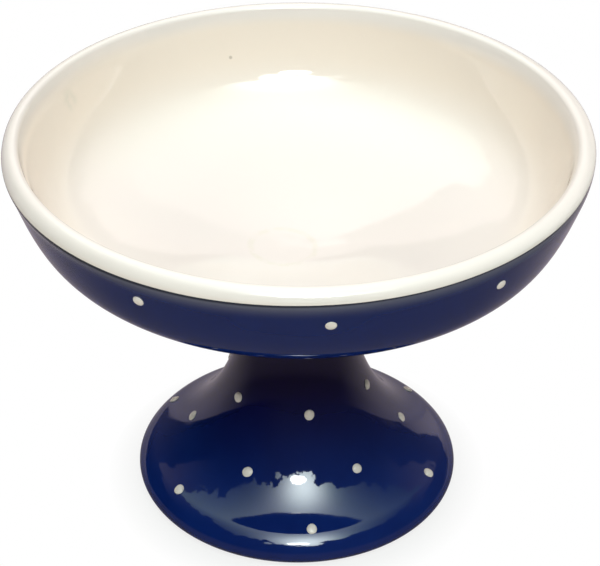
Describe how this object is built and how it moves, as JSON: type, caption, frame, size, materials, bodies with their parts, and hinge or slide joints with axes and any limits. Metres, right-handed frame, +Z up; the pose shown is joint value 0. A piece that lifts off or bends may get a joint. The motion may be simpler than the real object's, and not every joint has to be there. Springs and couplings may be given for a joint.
{
  "type": "candy dish",
  "caption": "Footed candy dish of glazed earthenware: a shallow round bowl on a hollow flared foot, cream inside, blue outside with rows of raised cream dots.",
  "frame": {"origin": "on the table plane, at the centre of the standing ring", "axes": "+Z up along the turned form's axis, -Y towards the front of the picture, +X to its right"},
  "size_m": [0.18, 0.18, 0.131],
  "materials": {
    "clay": "bare fired earthenware, matt",
    "slip": "fired joining slip, matt",
    "cream_glaze": "glossy cream glaze",
    "blue_glaze": "glossy deep blue glaze",
    "cream_dots": "raised cream slip dots under gloss"
  },
  "bodies": {
    "root": {"bowl_body": "clay", "foot_body": "clay", "joint_coil": "clay", "luting_slip": "slip", "bowl_lining_glaze": "cream_glaze", "bowl_outer_glaze": "blue_glaze", "foot_outer_glaze": "blue_glaze", "bowl_dot_1": "cream_dots", "bowl_dot_2": "cream_dots", "bowl_dot_3": "cream_dots", "bowl_dot_4": "cream_dots", "bowl_dot_5": "cream_dots", "bowl_dot_6": "cream_dots", "bowl_dot_7": "cream_dots", "bowl_dot_8": "cream_dots", "bowl_dot_9": "cream_dots", "flange_dot_1": "cream_dots", "flange_dot_2": "cream_dots", "flange_dot_3": "cream_dots", "flange_dot_4": "cream_dots", "flange_dot_5": "cream_dots", "flange_dot_6": "cream_dots", "slope_dot_1": "cream_dots", "slope_dot_2": "cream_dots", "slope_dot_3": "cream_dots", "slope_dot_4": "cream_dots", "slope_dot_5": "cream_dots", "slope_dot_6": "cream_dots", "neck_dot_1": "cream_dots", "neck_dot_2": "cream_dots", "neck_dot_3": "cream_dots", "neck_dot_4": "cream_dots", "neck_dot_5": "cream_dots", "neck_dot_6": "cream_dots"}
  },
  "joints": []
}
